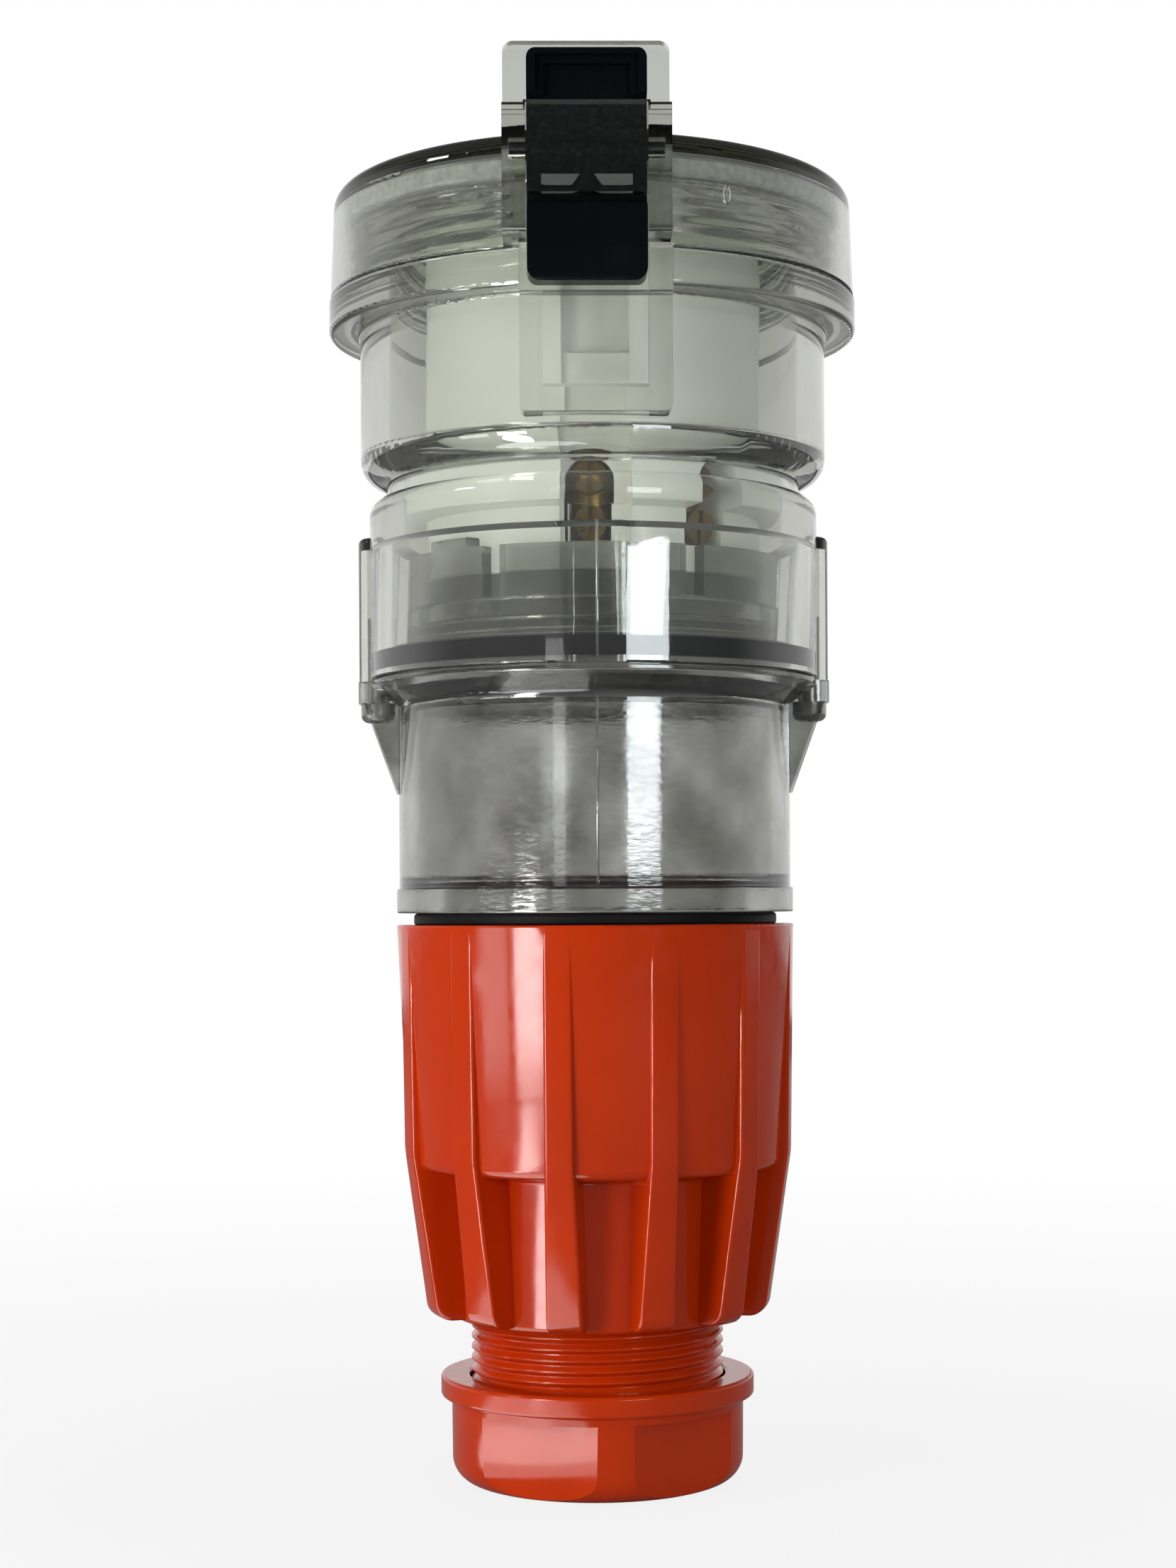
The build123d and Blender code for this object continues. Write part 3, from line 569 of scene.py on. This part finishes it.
def join_rings(build, rings):
    for lower, upper in zip(rings, rings[1:]):
        for step in range(len(lower)):
            after = (step + 1) % len(lower)
            build.faces.new((lower[step], lower[after], upper[after], upper[step]))


print("mesh helpers ready")

# %% [markdown]
# The gland neck carries a 1.5 mm thread, right-handed. A thread is a surface whose radius rises and falls
# along a helix, so it is built as a sleeve: rings of points around the neck, each point pushed out by its
# place on the helix. It fades to the plain neck at both ends, and its inner side is sunk into the neck.

# %% Gland thread
FLANK_GAIN = 1.35
ROOT_FLAT = 0.12
GLAND_ROOT = 16.98 * MM
GLAND_CREST = 17.7 * MM
GLAND_SUNK = 0.4 * MM
GLAND_PITCH = 1.5 * MM
GLAND_LOW = 8.7 * MM
GLAND_HIGH = 23.1 * MM
GLAND_STEPS = 120
ROWS_PER_TURN = 12
TOP_FADE_ROWS = 2


def thread_height(turns):
    phase = turns % 1.0
    ramp = 1.0 - abs(2.0 * phase - 1.0)
    return min(1.0, max(0.0, ramp * FLANK_GAIN - ROOT_FLAT))


thread_build = bmesh.new()
row_count = int((GLAND_HIGH - GLAND_LOW) / GLAND_PITCH * ROWS_PER_TURN) + 1
thread_rings = [add_ring(thread_build, GLAND_ROOT - GLAND_SUNK, GLAND_LOW, GLAND_STEPS)]
for row in range(row_count + 1):
    height = GLAND_LOW + (GLAND_HIGH - GLAND_LOW) * row / row_count
    fade = min(1.0, row / ROWS_PER_TURN, (row_count - row) / TOP_FADE_ROWS)
    ring = add_ring(thread_build, GLAND_ROOT, height, GLAND_STEPS)
    for step, point in enumerate(ring):
        rise = thread_height(height / GLAND_PITCH - step / GLAND_STEPS) * fade
        grow = 1 + (GLAND_CREST - GLAND_ROOT) / GLAND_ROOT * rise
        point.co.x *= grow
        point.co.y *= grow
    thread_rings.append(ring)
thread_rings.append(add_ring(thread_build, GLAND_ROOT - GLAND_SUNK, GLAND_HIGH, GLAND_STEPS))
join_rings(thread_build, thread_rings + thread_rings[:1])
gland_thread = add_piece("gland_thread", thread_build, orange, "housing")
print("gland thread faces:", len(gland_thread.data.polygons))

# %% [markdown]
# In the photograph the fluted shell ends a little higher above the nut than the solid does, so that one
# more turn of thread shows. A copy of the shell's mesh is drawn up: its top stays, its lower edge rises,
# and everything between moves in proportion. Points below the edge belong to the neck and stay.

# %% Shell edge
SHELL_TOP = 78.0 * MM
SHELL_EDGE = 21.5 * MM
EDGE_RISE = 1.5 * MM
HAIR = 0.01 * MM

drawn_mesh = parts["back_shell"].data.copy()
drawn_mesh.name = "drawn_back_shell"
drawn_share = (SHELL_TOP - SHELL_EDGE - EDGE_RISE) / (SHELL_TOP - SHELL_EDGE)
moved = 0
for point in drawn_mesh.vertices:
    if SHELL_EDGE - HAIR < point.co.z < SHELL_TOP:
        point.co.z = SHELL_TOP - (SHELL_TOP - point.co.z) * drawn_share
        moved += 1
drawn_shell = bpy.data.objects.new("drawn_back_shell", drawn_mesh)
scene.collection.objects.link(drawn_shell)
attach(drawn_shell, "housing")
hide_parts("back_shell")
print("shell points moved:", moved, "of", len(drawn_mesh.vertices))

# %% [markdown]
# Under the flap the front housing has a coarse thread for the plug's locking ring. It is part of a clear
# solid, so a sleeve laid over the ring would bend light twice. Instead the housing's mesh is copied and
# the plain band of the ring is cut out. That leaves a gap with a lower and an upper loop of points.

# %% Cut out the plain band
RING_RADIUS = 33.6 * MM
RING_FOOT = 165 * MM
MERGE = 0.001 * MM


def angle_of(point):
    return math.atan2(point.co.y, point.co.x)


housing_build = bmesh.new()
housing_build.from_mesh(parts["front_housing"].data)
bmesh.ops.remove_doubles(housing_build, verts=housing_build.verts, dist=MERGE)
ring_faces = []
for face in housing_build.faces:
    on_ring = [abs(math.hypot(v.co.x, v.co.y) - RING_RADIUS) < HAIR for v in face.verts]
    if all(on_ring) and face.calc_center_median().z > RING_FOOT:
        ring_faces.append(face)
bmesh.ops.delete(housing_build, geom=ring_faces, context="FACES")
gap_points = {v for e in housing_build.edges if len(e.link_faces) == 1 for v in e.verts}
ring_low = min(v.co.z for v in gap_points)
ring_high = max(v.co.z for v in gap_points)
ring_middle = (ring_low + ring_high) / 2
low_loop = sorted((v for v in gap_points if v.co.z < ring_middle), key=angle_of)
high_loop = sorted((v for v in gap_points if v.co.z > ring_middle), key=angle_of)
print("gap from", round(ring_low / MM, 2), "to", round(ring_high / MM, 2), "mm")
print("points in its loops:", len(low_loop), len(high_loop))

# %% [markdown]
# A band with a helical groove is sewn into the gap. The groove fades out at the front, where the keyway
# leaves the wall thin. The band starts and ends on plain rings close to the gap's edges, so the two strips
# that sew it in are flat and the fillets next to them keep their shading.

# %% Sew the band in
RING_PITCH = 2.4 * MM
RING_GROOVE = 0.85 * MM
RING_STEPS = 180
RING_ROWS_PER_TURN = 10
RING_FADE_ROWS = 5
PLAIN_EDGE = 0.05 * MM
FRONT_PLAIN = math.radians(18)
FRONT_FULL = math.radians(27)


def sew_loops(build, first, second):
    """Fill the strip between two closed loops, each sorted by angle."""
    i = 0
    j = 0
    while i < len(first) or j < len(second):
        a = first[i % len(first)]
        b = second[j % len(second)]
        next_a = first[(i + 1) % len(first)]
        next_b = second[(j + 1) % len(second)]
        reach_a = angle_of(next_a) + (2 * math.pi if i + 1 >= len(first) else 0)
        reach_b = angle_of(next_b) + (2 * math.pi if j + 1 >= len(second) else 0)
        if j >= len(second) or (i < len(first) and reach_a <= reach_b):
            build.faces.new((a, next_a, b))
            i += 1
        else:
            build.faces.new((a, next_b, b))
            j += 1


band_low = ring_low + PLAIN_EDGE
band_high = ring_high - PLAIN_EDGE
band_rows = int((band_high - band_low) / RING_PITCH * RING_ROWS_PER_TURN) + 1
band_rings = []
for row in range(band_rows + 1):
    height = band_low + (band_high - band_low) * row / band_rows
    end_fade = min(1.0, row / RING_FADE_ROWS, (band_rows - row) / RING_FADE_ROWS)
    ring = add_ring(housing_build, RING_RADIUS, height, RING_STEPS)
    for point in ring:
        off_front = abs(math.atan2(point.co.x, -point.co.y))
        front_fade = min(1.0, max(0.0, (off_front - FRONT_PLAIN) / (FRONT_FULL - FRONT_PLAIN)))
        turns = height / RING_PITCH - angle_of(point) / (2 * math.pi)
        cut = RING_GROOVE * (1.0 - thread_height(turns)) * end_fade * front_fade
        shrink = 1 - cut / RING_RADIUS
        point.co.x *= shrink
        point.co.y *= shrink
    band_rings.append(ring)
join_rings(housing_build, band_rings)
sew_loops(housing_build, low_loop, band_rings[0])
sew_loops(housing_build, high_loop, band_rings[-1])
print("rows in the band:", len(band_rings))

# %% [markdown]
# The side walls and the floor of the keyway are frosted in the photograph, so their faces get a second,
# duller finish. They are found by their place, in millimetres, and by the way they face. The housing then
# becomes a piece, and weighted normals keep its large flat faces flat.

# %% Keyway and threaded housing
KEY_FROST = (0.74, 0.75, 0.72)
KEY_HALF_WIDE = 7.4
KEY_FRONT = -32.4
KEY_BACK = -28.0
KEY_LOW = 146.0
KEY_HIGH = 174.0
FACES_AXIS = 0.9

frosted_key, key_skin = start_finish("frosted_keyway", KEY_FROST, roughness=0.5, ior=CLEAR_INDEX)
key_skin.inputs["Transmission Weight"].default_value = 0.5
tilt_surface(frosted_key, key_skin, add_noise(frosted_key, scale=1200.0), strength=0.2, depth=0.0002)
key_faces = 0
for face in housing_build.faces:
    middle = face.calc_center_median() / MM
    in_depth = KEY_FRONT < middle.y < KEY_BACK
    in_keyway = abs(middle.x) < KEY_HALF_WIDE and in_depth and KEY_LOW < middle.z < KEY_HIGH
    if in_keyway and (abs(face.normal.x) > FACES_AXIS or abs(face.normal.z) > FACES_AXIS):
        face.material_index = 1
        key_faces += 1
threaded_housing = add_piece("threaded_front_housing", housing_build, clear_front, "housing")
threaded_housing.data.materials.append(frosted_key)
steady = threaded_housing.modifiers.new("steady_normals", "WEIGHTED_NORMAL")
steady.keep_sharp = True
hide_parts("front_housing")
print("threaded housing faces:", len(threaded_housing.data.polygons), "with", key_faces, "in the keyway")

# %% [markdown]
# The body seal is squeezed between the crown and the collar, so rubber and clear plastic touch with no air
# between them, and the seal shows as a solid black band. Solids must keep a hair of room, which would show
# as a silvery film. A ring that reaches a hair into both walls closes that film.

# %% Body seal
SEAL_INNER = 26.15 * MM
SEAL_OUTER = 28.45 * MM
SEAL_LIP = 0.35 * MM
SEAL_STEPS = 160

seal_low, seal_high = (corner[2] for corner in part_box("body_seal"))
seal_profile = (
    (SEAL_INNER, seal_low),
    (SEAL_OUTER, seal_low),
    (SEAL_OUTER, seal_high - SEAL_LIP),
    (SEAL_OUTER - SEAL_LIP, seal_high),
    (SEAL_INNER + SEAL_LIP, seal_high),
    (SEAL_INNER, seal_high - SEAL_LIP),
)
seal_build = bmesh.new()
seal_rings = [add_ring(seal_build, radius, height, SEAL_STEPS) for radius, height in seal_profile]
join_rings(seal_build, seal_rings + seal_rings[:1])
pressed_seal = add_piece("pressed_body_seal", seal_build, rubber, "housing")
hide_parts("body_seal")
print("seal from", round(seal_low / MM, 2), "to", round(seal_high / MM, 2), "mm")

# %% [markdown]
# The mould leaves marks. A small oval ridge on the flap's wall is the gate where the melt came in. It is
# a closed band of four rows of points, bent around the flap, with its edges sunk into the wall.

# %% Gate mark
GATE_STEPS = 40
GATE_RIDGE = ((0.80, -0.05), (0.92, 0.07), (1.08, 0.07), (1.20, -0.05))


def add_gate_mark(name, angle, z, radius, half_wide, half_tall):
    build = bmesh.new()
    rows = []
    for step in range(GATE_STEPS):
        turn = 2 * math.pi * step / GATE_STEPS
        row = []
        for grow, rise in GATE_RIDGE:
            bend = math.radians(angle) + half_wide * grow * math.cos(turn) / radius
            reach = radius + rise
            place = (reach * math.sin(bend), -reach * math.cos(bend), z + half_tall * grow * math.sin(turn))
            row.append(build.verts.new(Vector(place) * MM))
        rows.append(row)
    join_rings(build, rows + rows[:1])
    return add_piece(name, build, clear_flap, "flap")


gate_mark = add_gate_mark("flap_gate_mark", angle=27.8, z=172.5, radius=36.7, half_wide=0.5, half_tall=1.1)
print("gate mark faces:", len(gate_mark.data.polygons))

# %% [markdown]
# Two little hooks on the back of the bridge are frosted. Each is a slab with a slanted end, drawn as an
# outline on the bridge and raised in three rows, the last one drawn in a little to break its edge.

# %% Bridge hooks
LATCH_X = -1.17 * MM
BRIDGE_BACK = -42.2 * MM
HOOK_FROST = (0.14, 0.145, 0.145)
HOOK_OUTLINE = ((0.95, 172.45), (5.75, 172.45), (5.75, 171.15), (5.0, 171.05), (2.1, 171.05), (1.8, 171.2))
HOOK_MIDDLE_X = 3.3
HOOK_MIDDLE_Z = 171.75
HOOK_HALF_WIDE = 2.4
HOOK_HALF_TALL = 0.7
HOOK_ROWS = ((-0.15, 0.0), (0.12, 0.0), (0.24, 0.12))

hook_frost, hook_skin = start_finish("frosted_hook", HOOK_FROST, roughness=0.4)
hook_skin.inputs["Transmission Weight"].default_value = 0.5
tilt_surface(hook_frost, hook_skin, add_noise(hook_frost, scale=1500.0), strength=0.3, depth=0.0002)


def add_hook(name, side):
    build = bmesh.new()
    rows = []
    for depth, inset in HOOK_ROWS:
        row = []
        for x, z in HOOK_OUTLINE:
            x = HOOK_MIDDLE_X + (x - HOOK_MIDDLE_X) * (1 - inset / HOOK_HALF_WIDE)
            z = HOOK_MIDDLE_Z + (z - HOOK_MIDDLE_Z) * (1 - inset / HOOK_HALF_TALL)
            row.append(build.verts.new((LATCH_X + side * x * MM, BRIDGE_BACK + depth * MM, z * MM)))
        rows.append(row)
    join_rings(build, rows)
    build.faces.new(rows[0])
    build.faces.new(rows[-1])
    return add_piece(name, build, hook_frost, "flap")


hooks = [add_hook("bridge_hook_left", -1), add_hook("bridge_hook_right", 1)]
print("hooks:", [hook.name for hook in hooks])

# %% [markdown]
# Two ejector pins have left faint rings on the waist of the latch. They are thin ridges of three rows of
# points, and their feet lie just under the skin.

# %% Ejector rings
LATCH_WAIST = -41.0 * MM
EJECTOR_STEPS = 48
EJECTOR_RIDGE = ((-0.11, -0.05), (0.0, 0.06), (0.11, -0.05))
EJECTOR_RADIUS = 1.75
EJECTOR_HEIGHT = 178.3


def add_ejector_ring(name, x):
    build = bmesh.new()
    rows = []
    for step in range(EJECTOR_STEPS):
        angle = 2 * math.pi * step / EJECTOR_STEPS
        row = []
        for offset, rise in EJECTOR_RIDGE:
            reach = EJECTOR_RADIUS + offset
            z = EJECTOR_HEIGHT + reach * math.sin(angle)
            place = (x + reach * math.cos(angle), LATCH_WAIST / MM - rise, z)
            row.append(build.verts.new(Vector(place) * MM))
        rows.append(row)
    join_rings(build, rows + rows[:1])
    return add_piece(name, build, black, "latch")


ejector_rings = [add_ejector_ring("ejector_ring_left", -6.3), add_ejector_ring("ejector_ring_right", 2.7)]
print("rings:", [ring.name for ring in ejector_rings])

# %% [markdown]
# Where the two halves of the mould met, a fine bead runs down the front of both housings. It is a long low
# ridge, sunk a little into the wall and tapered at its ends.

# %% Parting line
BEAD_TAPER = 0.5
BEAD_SINK = 0.06
BEAD_FOOT = 0.12
BEAD_PROFILE = ((-1, 0), (-0.6, 0.75), (0, 1), (0.6, 0.75), (1, 0))


def add_bead(name, y, low, high, half_width, rise, finish):
    build = bmesh.new()
    rows = []
    full_heights = (low + BEAD_TAPER, (low + high) / 2, high - BEAD_TAPER)
    for z, share in ((low, 0.0), *((height, 1.0) for height in full_heights), (high, 0.0)):
        row = []
        for x, lift in BEAD_PROFILE:
            place = (x * half_width, y + BEAD_SINK - lift * (rise + BEAD_SINK) * share, z)
            row.append(build.verts.new(Vector(place) * MM))
        for x in (1, -1):
            row.append(build.verts.new(Vector((x * half_width, y + BEAD_FOOT, z)) * MM))
        rows.append(row)
    join_rings(build, rows)
    build.faces.new(rows[0])
    build.faces.new(rows[-1])
    return add_piece(name, build, finish, "housing")


add_bead("parting_bead_rear", y=-27.5, low=83.4, high=108.2, half_width=0.20, rise=0.13, finish=clear_rear)
add_bead("parting_bead_key", y=-32.3, low=112.6, high=130.6, half_width=0.18, rise=0.12, finish=clear_front)
print("parting beads added")
